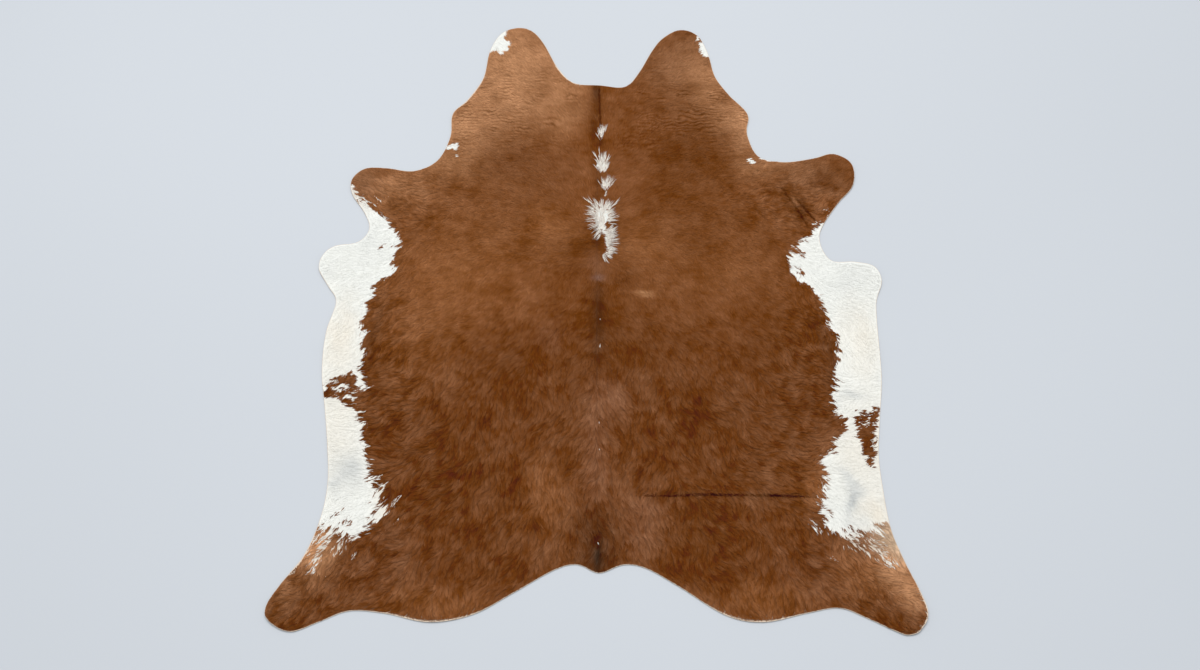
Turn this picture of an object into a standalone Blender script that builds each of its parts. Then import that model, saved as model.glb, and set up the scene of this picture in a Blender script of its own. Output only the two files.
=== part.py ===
"""A cowhide rug laid out flat: one hair-on hide, hair side up, in metres, +Z up.

The spine runs along Y with the neck at +Y and the tail at -Y. The origin is the middle of the
hide's box, on the surface that it lies on.
"""

import math
from collections import namedtuple

import bmesh
import bpy
from mathutils import Vector

# Driving sizes.
LENGTH = 2.15  # from the neck's two points to the hind toes
WIDTH = 1.85  # across the hind toes
LEATHER = 0.0025  # tanned skin
COAT = 0.0030  # short hair, as deep as it lies
EDGE_STEP = 0.022  # spacing of the points along the cut edge
CELLS_ACROSS = 56  # the hide inside its rim is divided into this many cells over WIDTH
CELLS_ALONG = 64  # and this many over LENGTH
RIM = 0.020  # least width of the strip between the cells and the cut edge

THICKNESS = LEATHER + COAT

# The cut edge, as matching places down the two sides. "out" is the distance from the spine
# line to that side, and "along" is the distance up the spine, towards the neck.
Edge = namedtuple("Edge", "place left_out left_along right_out right_along")
EDGE = (
    Edge("neck notch, side", 0.080, 0.837, 0.095, 0.820),
    Edge("neck point, inner foot", 0.135, 0.900, 0.143, 0.880),
    Edge("neck point, inner side", 0.184, 1.004, 0.190, 0.975),
    Edge("neck point, inner top", 0.225, 1.060, 0.230, 1.032),
    Edge("neck point, top", 0.275, 1.077, 0.290, 1.067),
    Edge("neck point, outer top", 0.335, 1.050, 0.350, 1.042),
    Edge("neck point, outer side", 0.373, 0.972, 0.385, 0.960),
    Edge("neck, side", 0.391, 0.858, 0.405, 0.864),
    Edge("neck, base", 0.440, 0.766, 0.450, 0.785),
    Edge("shoulder, point", 0.488, 0.705, 0.509, 0.702),
    Edge("shoulder, side", 0.492, 0.610, 0.503, 0.625),
    Edge("armpit", 0.530, 0.514, 0.535, 0.532),
    Edge("foreleg, front", 0.605, 0.473, 0.618, 0.508),
    Edge("foreleg, shin", 0.695, 0.484, 0.715, 0.522),
    Edge("foreleg, toe front", 0.765, 0.482, 0.785, 0.541),
    Edge("foreleg, toe", 0.806, 0.437, 0.842, 0.500),
    Edge("foreleg, toe back", 0.800, 0.380, 0.840, 0.415),
    Edge("foreleg, back", 0.755, 0.310, 0.780, 0.338),
    Edge("elbow, hollow", 0.734, 0.248, 0.716, 0.225),
    Edge("elbow, foot", 0.766, 0.198, 0.742, 0.132),
    Edge("flap, front", 0.836, 0.184, 0.820, 0.124),
    Edge("flap, corner", 0.872, 0.152, 0.880, 0.106),
    Edge("flap, tip", 0.882, 0.098, 0.899, 0.052),
    Edge("flap, back", 0.845, 0.032, 0.877, -0.015),
    Edge("belly, top", 0.817, -0.022, 0.871, -0.085),
    Edge("belly, upper", 0.838, -0.130, 0.869, -0.190),
    Edge("belly, middle", 0.838, -0.265, 0.865, -0.300),
    Edge("belly, lower", 0.819, -0.380, 0.848, -0.420),
    Edge("stifle, top", 0.800, -0.500, 0.833, -0.540),
    Edge("stifle, hollow", 0.787, -0.620, 0.836, -0.655),
    Edge("hind leg, hock", 0.796, -0.728, 0.847, -0.770),
    Edge("hind leg, outside", 0.832, -0.843, 0.877, -0.867),
    Edge("hind leg, shin", 0.892, -0.932, 0.909, -0.948),
    Edge("hind toe, side", 0.925, -0.998, 0.925, -1.012),
    Edge("hind toe, corner", 0.913, -1.037, 0.907, -1.054),
    Edge("hind toe, tip", 0.850, -1.067, 0.862, -1.077),
    Edge("hind toe, inside", 0.770, -1.038, 0.755, -1.029),
    Edge("hind leg, arch", 0.690, -1.008, 0.680, -1.000),
    Edge("thigh, outside", 0.590, -1.015, 0.590, -1.014),
    Edge("thigh, bottom", 0.465, -1.040, 0.465, -1.040),
    Edge("thigh, inside", 0.345, -1.018, 0.360, -1.020),
    Edge("rump, side", 0.235, -0.957, 0.235, -0.940),
    Edge("rump, inside", 0.120, -0.890, 0.140, -0.885),
    Edge("tail notch", 0.054, -0.874, 0.075, -0.875),
)
NECK_NOTCH = (0.010, 0.826)
TAIL_POINT = (0.007, -0.899)

# Where the hide stands off the floor in a soft ridge: it runs from one end to the other, and
# falls to nothing at "half_width" on both sides and past both ends.
Ridge = namedtuple("Ridge", "place x_from y_from x_to y_to height half_width")
RIDGES = (
    Ridge("spine, neck", 0.005, 0.740, 0.000, 0.360, 0.0045, 0.055),
    Ridge("spine, back", 0.002, 0.290, 0.000, 0.120, 0.0035, 0.050),
    Ridge("spine, rump", 0.004, -0.120, 0.006, -0.820, 0.0040, 0.055),
    Ridge("fold mark, right", 0.130, -0.668, 0.640, -0.664, 0.0060, 0.042),
    Ridge("fold mark, left", -0.540, -0.664, -0.270, -0.668, 0.0035, 0.040),
    Ridge("neck wrinkle, left upper", -0.350, 0.745, -0.130, 0.765, 0.0035, 0.030),
    Ridge("neck wrinkle, left lower", -0.410, 0.650, -0.150, 0.675, 0.0030, 0.032),
    Ridge("neck wrinkle, right upper", 0.130, 0.755, 0.370, 0.740, 0.0035, 0.030),
    Ridge("neck wrinkle, right lower", 0.160, 0.665, 0.420, 0.650, 0.0030, 0.032),
    Ridge("foreleg crease, left upper", -0.690, 0.400, -0.560, 0.290, 0.0050, 0.040),
    Ridge("foreleg crease, left lower", -0.650, 0.265, -0.560, 0.190, 0.0035, 0.036),
    Ridge("foreleg crease, right outer", 0.648, 0.395, 0.712, 0.325, 0.0055, 0.036),
    Ridge("foreleg crease, right inner", 0.596, 0.430, 0.676, 0.300, 0.0045, 0.036),
    Ridge("hind leg crease, left", -0.790, -0.880, -0.640, -0.790, 0.0045, 0.050),
    Ridge("hind leg crease, right", 0.800, -0.890, 0.680, -0.790, 0.0045, 0.050),
)

# Where the hide stands off the floor in a round rise: the edge's points curl up a little, and
# the back swells where the skin was shaped by the animal's body.
Rise = namedtuple("Rise", "place x y height radius")
RISES = (
    Rise("neck point, left", -0.300, 1.060, 0.0050, 0.110),
    Rise("neck point, right", 0.310, 1.050, 0.0060, 0.110),
    Rise("shoulder point, left", -0.490, 0.690, 0.0040, 0.080),
    Rise("shoulder point, right", 0.510, 0.690, 0.0040, 0.080),
    Rise("foreleg toe, left", -0.800, 0.430, 0.0070, 0.100),
    Rise("foreleg toe, right", 0.840, 0.470, 0.0080, 0.110),
    Rise("flap, left", -0.880, 0.120, 0.0060, 0.090),
    Rise("flap, right", 0.895, 0.070, 0.0070, 0.090),
    Rise("belly, left", -0.840, -0.200, 0.0040, 0.120),
    Rise("belly, right", 0.870, -0.230, 0.0040, 0.120),
    Rise("hind toe, left", -0.915, -1.020, 0.0080, 0.120),
    Rise("hind toe, right", 0.915, -1.030, 0.0090, 0.130),
    Rise("thigh edge, left", -0.460, -1.040, 0.0030, 0.100),
    Rise("thigh edge, right", 0.460, -1.040, 0.0030, 0.100),
    Rise("shoulder, left", -0.360, 0.330, 0.0030, 0.200),
    Rise("shoulder, right", 0.390, 0.300, 0.0030, 0.190),
    Rise("hip, left", -0.390, -0.420, 0.0030, 0.180),
    Rise("hip, right", 0.430, -0.380, 0.0030, 0.200),
    Rise("thigh, left", -0.480, -0.840, 0.0030, 0.130),
    Rise("thigh, right", 0.460, -0.850, 0.0030, 0.120),
)


def material(name, color, roughness):
    """A Principled material in one colour."""
    made = bpy.data.materials.new(name)
    made.use_nodes = True
    shader = made.node_tree.nodes["Principled BSDF"]
    shader.inputs["Base Color"].default_value = (*color, 1.0)
    shader.inputs["Roughness"].default_value = roughness
    shader.inputs["Metallic"].default_value = 0.0
    return made


def curve_between(before, start, end, after, share):
    """A point of the smooth curve that passes through start and end, a share of the way along."""
    pull_start = (end - before) / 2
    pull_end = (after - start) / 2
    s2 = share * share
    s3 = s2 * share
    return (
        (2 * s3 - 3 * s2 + 1) * start
        + (s3 - 2 * s2 + share) * pull_start
        + (3 * s2 - 2 * s3) * end
        + (s3 - s2) * pull_end
    )


def cut_edge():
    """The closed outline, down the right side from the neck and back up the left side."""
    right = [Vector((row.right_out, row.right_along)) for row in EDGE]
    left = [Vector((-row.left_out, row.left_along)) for row in EDGE]
    knots = [Vector(NECK_NOTCH)] + right + [Vector(TAIL_POINT)] + left[::-1]
    points = []
    for index, start in enumerate(knots):
        before = knots[index - 1]
        end = knots[(index + 1) % len(knots)]
        after = knots[(index + 2) % len(knots)]
        steps = max(1, round((end - start).length / EDGE_STEP))
        for step in range(steps):
            points.append(curve_between(before, start, end, after, step / steps))
    return points


def to_size(points):
    """The outline moved and stretched to fill a box of WIDTH by LENGTH about the origin."""
    low_x = min(point.x for point in points)
    high_x = max(point.x for point in points)
    low_y = min(point.y for point in points)
    high_y = max(point.y for point in points)
    stretch_x = WIDTH / (high_x - low_x)
    stretch_y = LENGTH / (high_y - low_y)
    middle_x = (low_x + high_x) / 2
    middle_y = (low_y + high_y) / 2
    return [((p.x - middle_x) * stretch_x, (p.y - middle_y) * stretch_y) for p in points]


def soft_fall(share):
    """1 in the middle of a rise, falling smoothly to exactly 0 at its rim."""
    return (1 - share * share) ** 2 if share < 1 else 0.0


def distance_to_run(x, y, ridge):
    """How far a point is from the straight run between a ridge's two ends."""
    start = Vector((ridge.x_from, ridge.y_from))
    run = Vector((ridge.x_to, ridge.y_to)) - start
    offset = Vector((x, y)) - start
    share = min(max(offset.dot(run) / run.length_squared, 0.0), 1.0)
    return (offset - run * share).length


def lift(x, y):
    """How high the leather's underside is over the floor. It is 0 over most of the hide."""
    ridges = [r.height * soft_fall(distance_to_run(x, y, r) / r.half_width) for r in RIDGES]
    rounds = [r.height * soft_fall(math.hypot(x - r.x, y - r.y) / r.radius) for r in RISES]
    return sum(ridges) + sum(rounds)


def is_inside(x, y, outline):
    """Whether a point is inside the outline, by the sides that a line from it to +X crosses."""
    crossings = 0
    for (x_a, y_a), (x_b, y_b) in zip(outline, outline[1:] + outline[:1]):
        if (y_a > y) != (y_b > y) and x < x_a + (x_b - x_a) * (y - y_a) / (y_b - y_a):
            crossings += 1
    return crossings % 2 == 1


def is_clear(x, y, outline):
    """Whether a point is inside the outline and at least RIM away from it."""
    nearest = min(math.hypot(x - edge_x, y - edge_y) for edge_x, edge_y in outline)
    return nearest > RIM and is_inside(x, y, outline)


def remove_corner_joints(mesh):
    """Takes out points where two cells meet only at a corner, until none is left."""
    while True:
        joints = [v for v in mesh.verts if sum(edge.is_boundary for edge in v.link_edges) > 2]
        if not joints:
            return
        bmesh.ops.delete(mesh, geom=joints, context="VERTS")


def flat_hide(outline):
    """One layer of faces that point up: square cells inside, and triangles out to the outline."""
    mesh = bmesh.new()
    bmesh.ops.create_grid(mesh, x_segments=CELLS_ACROSS, y_segments=CELLS_ALONG, size=0.5)
    bmesh.ops.scale(mesh, verts=mesh.verts, vec=(WIDTH, LENGTH, 1.0))
    beyond = [vert for vert in mesh.verts if not is_clear(vert.co.x, vert.co.y, outline)]
    bmesh.ops.delete(mesh, geom=beyond, context="VERTS")
    remove_corner_joints(mesh)
    inner = [edge for edge in mesh.edges if edge.is_boundary]
    corners = [mesh.verts.new((x, y, 0.0)) for x, y in outline]
    outer = [mesh.edges.new((corners[i - 1], corners[i])) for i in range(len(corners))]
    bmesh.ops.triangle_fill(mesh, use_beauty=True, edges=inner + outer)
    bmesh.ops.recalc_face_normals(mesh, faces=mesh.faces)
    if mesh.faces[0].normal.z < 0:
        bmesh.ops.reverse_faces(mesh, faces=mesh.faces)
    return mesh


def hide():
    """The hide: a sheet of even thickness that follows the ridges and the rises."""
    mesh = flat_hide(to_size(cut_edge()))
    underside = list(mesh.faces)
    raised = bmesh.ops.extrude_face_region(mesh, geom=underside, use_keep_orig=True)["geom"]
    top = [item for item in raised if isinstance(item, bmesh.types.BMVert)]
    bmesh.ops.translate(mesh, verts=top, vec=(0.0, 0.0, THICKNESS))
    for vert in mesh.verts:
        vert.co.z += lift(vert.co.x, vert.co.y)
    bmesh.ops.recalc_face_normals(mesh, faces=mesh.faces)
    shape = bpy.data.meshes.new("hide")
    mesh.to_mesh(shape)
    mesh.free()
    shape.shade_smooth()
    shape.set_sharp_from_angle(angle=math.radians(40))
    shape.materials.append(material("hair_on_hide", (0.24, 0.08, 0.026), 0.7))
    made = bpy.data.objects.new("hide", shape)
    bpy.context.scene.collection.objects.link(made)
    return made


for old in list(bpy.data.objects):
    bpy.data.objects.remove(old, do_unlink=True)
hide()
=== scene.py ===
"""The look of the cowhide rug: napped leather, and the brown and white coat that lies on it.

The leather is one sheet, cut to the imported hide's own outline and laid on its ridges. The coat is
made lock by lock: narrow tapered locks rooted all over the sheet, which lie the way a hide's hair
lies and take their shade from the markings at the place where they show.
"""

import math
from collections import namedtuple

import bmesh
import bpy
import numpy as np
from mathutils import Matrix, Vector
from mathutils.bvhtree import BVHTree


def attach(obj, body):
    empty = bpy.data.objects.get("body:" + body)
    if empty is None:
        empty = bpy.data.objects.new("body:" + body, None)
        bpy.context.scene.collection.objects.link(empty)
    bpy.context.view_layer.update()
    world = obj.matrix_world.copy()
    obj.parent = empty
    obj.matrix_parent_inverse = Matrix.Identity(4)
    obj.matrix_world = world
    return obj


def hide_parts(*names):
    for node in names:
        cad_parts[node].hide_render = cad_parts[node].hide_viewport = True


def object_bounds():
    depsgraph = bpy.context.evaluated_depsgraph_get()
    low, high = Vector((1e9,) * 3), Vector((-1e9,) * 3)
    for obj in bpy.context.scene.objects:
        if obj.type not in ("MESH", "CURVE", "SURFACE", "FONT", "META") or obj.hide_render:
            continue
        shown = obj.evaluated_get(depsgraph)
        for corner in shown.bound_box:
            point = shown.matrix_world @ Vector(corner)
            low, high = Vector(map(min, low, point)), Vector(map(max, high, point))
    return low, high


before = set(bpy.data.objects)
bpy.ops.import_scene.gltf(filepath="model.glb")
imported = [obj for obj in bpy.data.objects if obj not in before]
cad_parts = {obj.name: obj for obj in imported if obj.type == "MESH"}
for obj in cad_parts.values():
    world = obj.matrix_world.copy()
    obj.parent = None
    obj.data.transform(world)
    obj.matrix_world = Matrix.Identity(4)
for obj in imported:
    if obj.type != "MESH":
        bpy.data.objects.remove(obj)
CAD_LOW, CAD_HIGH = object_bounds()

# Sizes, in metres.
LEATHER = 0.0025  # thickness of the tanned skin
COAT_DEPTH = 0.0030  # how deep the hair lies over the skin
MERGE = 0.00001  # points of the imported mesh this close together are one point
FIELD_STEP = 0.005  # spacing of the grids that heights and edge distances are kept on
FIELD_MARGIN = 0.03  # how far those grids reach past the hide
RIM_STEP = 0.009  # spacing of points along the leather's cut edge
CELL = 0.011  # side of a cell of the leather sheet
BARE_EDGE = 0.0022  # width of the strip of leather that the hair leaves bare
RIM = 0.009  # least width of the strip between the cells and the cut edge
ROOT_STEP = 0.0032  # spacing of the hair roots
ROOT_INSET = 0.0028  # no hair is rooted closer to the cut edge
LOCK_WIDTH = 0.0022  # a lock of hair at its root
TUFT_WIDTH = 0.0009  # a lock of the loose white hair on the spine
CLUMP = 0.0150  # spacing of the clumps that locks gather in
LEG_HAIR = 0.0125  # length of the hair on the legs
BODY_HAIR = 0.0015  # how much longer it is on the body
REAR_HAIR = 0.0085  # how much longer again it is over the rump
ROOT_SINK = 0.0002  # how far a lock's root is under the skin
MIDDLE_LIFT = 0.0009  # how far a lock's middle is over the skin in the lowest layer
MIDDLE_RISE = 0.0010  # and how much further in the top layer
TIP_LIFT = 0.0013  # how far a lock's tip is over the skin in the lowest layer
TIP_RISE = 0.0016  # and how much further in the top layer
CUT_MARGIN = 0.0014  # hair stops this far inside the cut edge
CUT_RAGGED = 0.0016  # and the longest of it reaches this much further out
LIP_MARGIN = 0.0032  # how much sooner it stops where the cut edge shows
WRINKLE_HEIGHT = 0.0005  # half the height of the neck's fine folds
SWELL_HEIGHT = 0.0006  # half the height of the skin's low swells
GRAIN_HEIGHT = 0.0002  # and of the finer unevenness on them
FLOOR_REACH = 20.0  # from the middle of the floor to its edges
FLOOR_GAP = 0.0005  # how far the floor is under the leather

# Numbers without a unit.
BEND_AT = 0.55  # where along a lock it bends, as a share of its length
SEEN_AT = 0.6  # where along a lock the markings are read
CLUMP_STRETCH = 1.8  # how much longer a clump is than it is broad
SHEEN_VEIL = 0.007  # light that the hair's sheen adds over its own colour
GAP_GAIN = 1.22  # makes up for the light lost in the gaps between locks
DARKEST = 0.002  # least light that the brown coat gives back
SEED = 7  # start of everything random

# The coat's pieces, from the neck to the tail.
COAT_BANDS = ("neck", "shoulders", "back", "loin", "rump")


def shade(red, green, blue):
    """A named shade given in the usual 0 to 255 display values, as linear light."""
    display = np.array((red, green, blue)) / 255
    return np.where(display <= 0.04045, display / 12.92, ((display + 0.055) / 1.055) ** 2.4)


# Shades of the brown coat.
CHESTNUT = shade(114, 69, 38)
RUSSET = shade(104, 62, 34)
COPPER = shade(138, 89, 54)
TAN = shade(153, 107, 73)
FAWN = shade(177, 129, 92)
UMBER = shade(94, 52, 22)
SEAL = shade(80, 46, 24)
SABLE = shade(52, 31, 18)
COCOA = shade(120, 79, 54)
HAZEL = shade(131, 91, 63)
LILAC = shade(141, 108, 95)
SAND = shade(172, 126, 88)

# Shades of the white coat and of the flesh side.
MILK = shade(241, 241, 235)
CREAM = shade(238, 230, 215)
ASH = shade(200, 202, 200)
BUFF = shade(203, 178, 150)
RAWHIDE = shade(226, 206, 184)
WARMTH = np.array((1.05, 0.99, 0.95))  # cast of the loose white hair on the spine

# Mottling of the brown coat: patches of several sizes, each as strong as its depth where the coat
# is sleek, and stronger by "tufted" where it is rough. "pattern" picks the unevenness.
Mottle = namedtuple("Mottle", "size depth tufted pattern")
MOTTLES = (
    Mottle(0.085, 0.14, 0.0, 9),
    Mottle(0.04, 0.1, 0.05, 10),
    Mottle(0.019, 0.09, 0.08, 11),
    Mottle(0.009, 0.06, 0.09, 12),
)
MOTTLE_SHEEN = np.array((0.0, 0.032, 0.032))  # painted sheen: a grey haze that a pale patch gains, and a dark one loses
SHEEN_LIMIT = -0.22  # a patch darker than this loses no more of the painted sheen
WRINKLE_PAINTED_SHADE = 0.36  # painted light and shade on the neck's fine folds: how much lighter their ridges and darker their troughs are
SLEEK_STREAK = 0.08  # and the fine streaks across the sleek coat

# Where the brown coat's shade departs from chestnut: soft round areas laid over each other in
# this order, each with its reach across and along the hide.
Tone = namedtuple("Tone", "place x y across along shade strength")
BROWN_TONES = (
    # painted sheen: the left of the neck is lighter where its hair lies towards the light
    Tone("neck, left", -0.3, 0.88, 0.17, 0.26, FAWN, 0.95),
    Tone("neck, left inside", -0.13, 0.78, 0.09, 0.13, TAN, 0.8),
    Tone("shoulder point, left", -0.47, 0.64, 0.1, 0.12, FAWN, 0.85),
    Tone("armpit, left", -0.48, 0.52, 0.12, 0.08, TAN, 0.9),
    Tone("foreleg, left", -0.66, 0.405, 0.11, 0.075, TAN, 0.65),
    Tone("foreleg toe, left", -0.78, 0.43, 0.06, 0.07, HAZEL, 0.8),
    Tone("neck, right", 0.3, 0.9, 0.12, 0.19, HAZEL, 0.6),
    # painted sheen: the outer right of the neck is lighter the same way
    Tone("neck, right outside", 0.372, 0.81, 0.078, 0.13, TAN, 1.0),
    Tone("shoulder point, right", 0.475, 0.66, 0.065, 0.1, FAWN, 1.0),
    Tone("shoulder, right", 0.31, 0.54, 0.13, 0.17, UMBER, 0.6),
    Tone("armpit, right", 0.56, 0.5, 0.1, 0.05, TAN, 0.8),
    Tone("foreleg, right", 0.72, 0.45, 0.13, 0.09, HAZEL, 0.6),
    Tone("foreleg toe, right", 0.745, 0.425, 0.05, 0.03, UMBER, 0.6),
    Tone("shoulder, left", -0.3, 0.5, 0.12, 0.09, RUSSET, 0.7),
    Tone("withers, left", -0.15, 0.45, 0.12, 0.12, RUSSET, 0.4),
    Tone("back, left", -0.42, 0.08, 0.2, 0.2, COPPER, 0.8),
    Tone("back, left of the star", -0.15, 0.25, 0.08, 0.08, COPPER, 0.7),
    Tone("back, right of the star", 0.15, 0.19, 0.09, 0.08, COPPER, 0.7),
    Tone("ribs, right", 0.42, 0.1, 0.18, 0.08, COPPER, 0.3),
    Tone("flank, left", -0.56, -0.18, 0.16, 0.16, COPPER, 0.35),
    Tone("loin, left", -0.29, -0.22, 0.12, 0.1, UMBER, 0.6),
    Tone("flank, right", 0.55, -0.2, 0.09, 0.12, UMBER, 0.4),
    Tone("loin, middle", 0.05, -0.19, 0.17, 0.15, UMBER, 0.8),
    Tone("loin, right", 0.31, -0.42, 0.16, 0.11, UMBER, 0.55),
    Tone("hip, left", -0.4, -0.61, 0.15, 0.1, UMBER, 0.8),
    Tone("rump, left of the spine", -0.15, -0.66, 0.07, 0.12, COPPER, 0.4),
    Tone("rump, right of the spine", 0.13, -0.74, 0.07, 0.11, COCOA, 0.75),
    Tone("rump, left patch", -0.26, -0.74, 0.05, 0.12, UMBER, 0.5),
    Tone("thigh, right", 0.31, -0.78, 0.08, 0.17, UMBER, 0.8),
    Tone("thigh, left inside", -0.32, -0.86, 0.1, 0.08, UMBER, 0.4),
    Tone("thigh, right outside", 0.6, -0.9, 0.1, 0.08, COCOA, 0.45),
    Tone("thigh edge, right", 0.47, -0.98, 0.14, 0.05, COPPER, 0.5),
    Tone("thigh edge, left", -0.45, -0.98, 0.14, 0.05, COPPER, 0.5),
    Tone("thigh, left", -0.6, -0.85, 0.12, 0.08, COCOA, 0.25),
    Tone("hind leg, left outside", -0.812, -0.835, 0.05, 0.07, FAWN, 0.95),
    Tone("hind toe, left outside", -0.885, -0.95, 0.034, 0.06, TAN, 0.4),
    Tone("hind leg, right", 0.77, -0.9, 0.08, 0.06, COPPER, 0.6),
    Tone("hind leg, right outside", 0.85, -0.85, 0.068, 0.085, FAWN, 1.0),
    Tone("hind leg, right, by the white", 0.845, -0.79, 0.065, 0.055, BUFF, 0.85),
    Tone("hind toe, right outside", 0.895, -0.93, 0.04, 0.06, FAWN, 0.75),
    Tone("hock, right", 0.64, -0.64, 0.07, 0.09, COPPER, 0.5),
    Tone("flank edge, left", -0.695, -0.13, 0.03, 0.12, SEAL, 0.45),
    Tone("flank edge, right", 0.715, -0.2, 0.03, 0.14, SEAL, 0.45),
    Tone("thigh notch, right", 0.64, -0.72, 0.03, 0.05, SEAL, 0.4),
    Tone("thigh notch, left", -0.6, -0.76, 0.04, 0.04, SEAL, 0.3),
)
SPINE_TONES = (
    Tone("spine, neck", 0.0, 0.74, 0.026, 0.12, UMBER, 0.9),
    Tone("spine, neck notch", -0.004, 0.8, 0.013, 0.05, SEAL, 0.95),
    # painted shadow beside and under the neck tuft
    Tone("spine, beside the neck tuft", -0.012, 0.64, 0.012, 0.05, SEAL, 0.7),
    Tone("spine, under the neck tuft", 0.012, 0.583, 0.012, 0.02, SEAL, 0.8),
    Tone("spine, withers", 0.0, 0.5, 0.026, 0.09, UMBER, 0.6),
    # painted shadow under the withers tuft
    Tone("spine, under the withers tuft", 0.006, 0.425, 0.014, 0.026, SEAL, 0.7),
    Tone("spine, above the star", 0.004, 0.37, 0.016, 0.02, SEAL, 0.5),
    # painted shadow round the star
    Tone("star, right notch", 0.056, 0.264, 0.012, 0.012, SEAL, 0.8),
    Tone("star, under the left foot", 0.0, 0.195, 0.022, 0.026, SEAL, 0.75),
    Tone("star, left shadow", -0.05, 0.175, 0.045, 0.03, UMBER, 0.65),
    Tone("spine, under the star", 0.0, 0.118, 0.034, 0.034, COCOA, 0.75),
    Tone("spine, grey patch", 0.004, 0.066, 0.019, 0.011, LILAC, 0.75),
    Tone("back, dark beside the spine", 0.075, 0.06, 0.045, 0.035, UMBER, 0.8),
    Tone("back, dark, left", -0.06, 0.09, 0.035, 0.03, UMBER, 0.5),
    # painted sheen: pale streaks where the hair catches the light
    Tone("back, pale streak", 0.146, 0.012, 0.026, 0.006, SAND, 0.55),
    Tone("back, pale streak, lower", 0.158, 0.0, 0.02, 0.006, SAND, 0.45),
    Tone("spine, back", 0.004, -0.08, 0.026, 0.16, SEAL, 0.9),
    Tone("back, rose patch", -0.14, -0.15, 0.05, 0.05, COCOA, 0.5),
    Tone("spine, loin", 0.045, -0.355, 0.06, 0.066, COCOA, 0.85),
    Tone("spine, hips", 0.0, -0.54, 0.04, 0.19, COCOA, 0.95),
    Tone("spine, above the tail", -0.01, -0.765, 0.066, 0.065, SEAL, 0.8),
    Tone("spine, tail", 0.006, -0.85, 0.056, 0.07, SEAL, 1.0),
    # painted shade in the right foreleg's creases, and painted light on the ridge between them
    Tone("foreleg crease, outer", 0.668, 0.328, 0.02, 0.03, SEAL, 0.45),
    Tone("foreleg crease, inner", 0.655, 0.296, 0.018, 0.026, SEAL, 0.4),
    Tone("foreleg crease, upper", 0.622, 0.372, 0.016, 0.03, UMBER, 0.4),
    Tone("foreleg, between the creases", 0.646, 0.35, 0.009, 0.022, TAN, 0.35),
    Tone("foreleg toe, dark", 0.742, 0.432, 0.034, 0.03, UMBER, 0.7),
    # painted shade along the fold
    Tone("fold, right inner", 0.29, -0.665, 0.12, 0.01, SEAL, 0.5),
    Tone("fold, right outer", 0.52, -0.668, 0.11, 0.008, SEAL, 0.45),
    Tone("tail root", 0.004, -0.85, 0.012, 0.06, SABLE, 0.9),
)
WHITE_TONES = (
    Tone("belly, left", -0.78, -0.45, 0.12, 0.2, CREAM, 0.5),
    Tone("belly, right", 0.8, -0.52, 0.12, 0.16, CREAM, 0.6),
    Tone("ribs, left", -0.8, -0.14, 0.06, 0.12, CREAM, 0.7),
    Tone("ribs, right", 0.81, -0.15, 0.06, 0.13, CREAM, 0.6),
    Tone("stifle hollow, left", -0.725, -0.59, 0.04, 0.05, ASH, 0.65),
    Tone("stifle hollow, left lower", -0.755, -0.64, 0.022, 0.024, ASH, 0.5),
    Tone("stifle hollow, right", 0.724, -0.61, 0.02, 0.035, ASH, 0.45),
    Tone("stifle hollow, right lower", 0.742, -0.68, 0.024, 0.055, ASH, 1.0),
    Tone("hock, right", 0.8, -0.71, 0.035, 0.05, CREAM, 0.9),
    Tone("hind leg, right outside", 0.86, -0.77, 0.022, 0.09, BUFF, 0.8),
    Tone("flank, right, grey streaks", 0.772, -0.352, 0.03, 0.014, ASH, 0.5),
    Tone("flap, right", 0.8, 0.05, 0.07, 0.08, ASH, 0.22),
    Tone("hind leg, left, streaks", -0.77, -0.83, 0.08, 0.05, BUFF, 0.6),
    Tone("thigh, left, streaks", -0.6, -0.7, 0.04, 0.08, CREAM, 0.8),
    Tone("hind leg, right, streaks", 0.78, -0.83, 0.08, 0.05, BUFF, 0.65),
    Tone("foreleg, left, streaks", -0.77, 0.38, 0.05, 0.05, BUFF, 0.4),
    Tone("foreleg, right, streaks", 0.76, 0.32, 0.05, 0.05, BUFF, 0.4),
    Tone("elbow, left", -0.74, 0.2, 0.05, 0.06, ASH, 0.15),
)

# Where the brown coat ends and the white begins, down each flank from the foreleg's back edge.
Border = namedtuple("Border", "place x y")
LEFT_BORDER = (
    Border("foreleg toe, back", -0.86, 0.44),
    Border("foreleg, outside", -0.803, 0.41),
    Border("foreleg, back edge", -0.774, 0.368),
    Border("foreleg, knee", -0.738, 0.327),
    Border("foreleg, above the elbow", -0.69, 0.294),
    Border("elbow, front", -0.655, 0.25),
    Border("elbow, inside", -0.638, 0.21),
    Border("elbow, innermost", -0.63, 0.172),
    Border("brisket, first notch", -0.645, 0.153),
    Border("brisket, tuft", -0.664, 0.108),
    Border("brisket, second notch", -0.644, 0.094),
    Border("brisket, back", -0.661, 0.064),
    Border("girth, step", -0.697, 0.048),
    Border("girth", -0.704, 0.018),
    Border("ribs, front", -0.716, -0.045),
    Border("ribs, outermost", -0.733, -0.112),
    Border("ribs, notch", -0.716, -0.135),
    Border("ribs, tuft", -0.732, -0.163),
    Border("ribs, back", -0.716, -0.2),
    Border("flank, front", -0.716, -0.26),
    Border("flank, under the curl", -0.698, -0.308),
    Border("flank, back", -0.708, -0.42),
    Border("stifle, front", -0.692, -0.49),
    Border("stifle", -0.67, -0.56),
    Border("stifle, back", -0.658, -0.618),
    Border("thigh, first notch", -0.615, -0.648),
    Border("thigh, first tuft", -0.644, -0.69),
    Border("thigh, second notch", -0.609, -0.732),
    Border("thigh, second tuft", -0.669, -0.778),
    Border("hind leg, inside", -0.692, -0.802),
    Border("hind leg, middle", -0.74, -0.775),
    Border("hind leg, outside", -0.85, -0.78),
)
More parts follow.
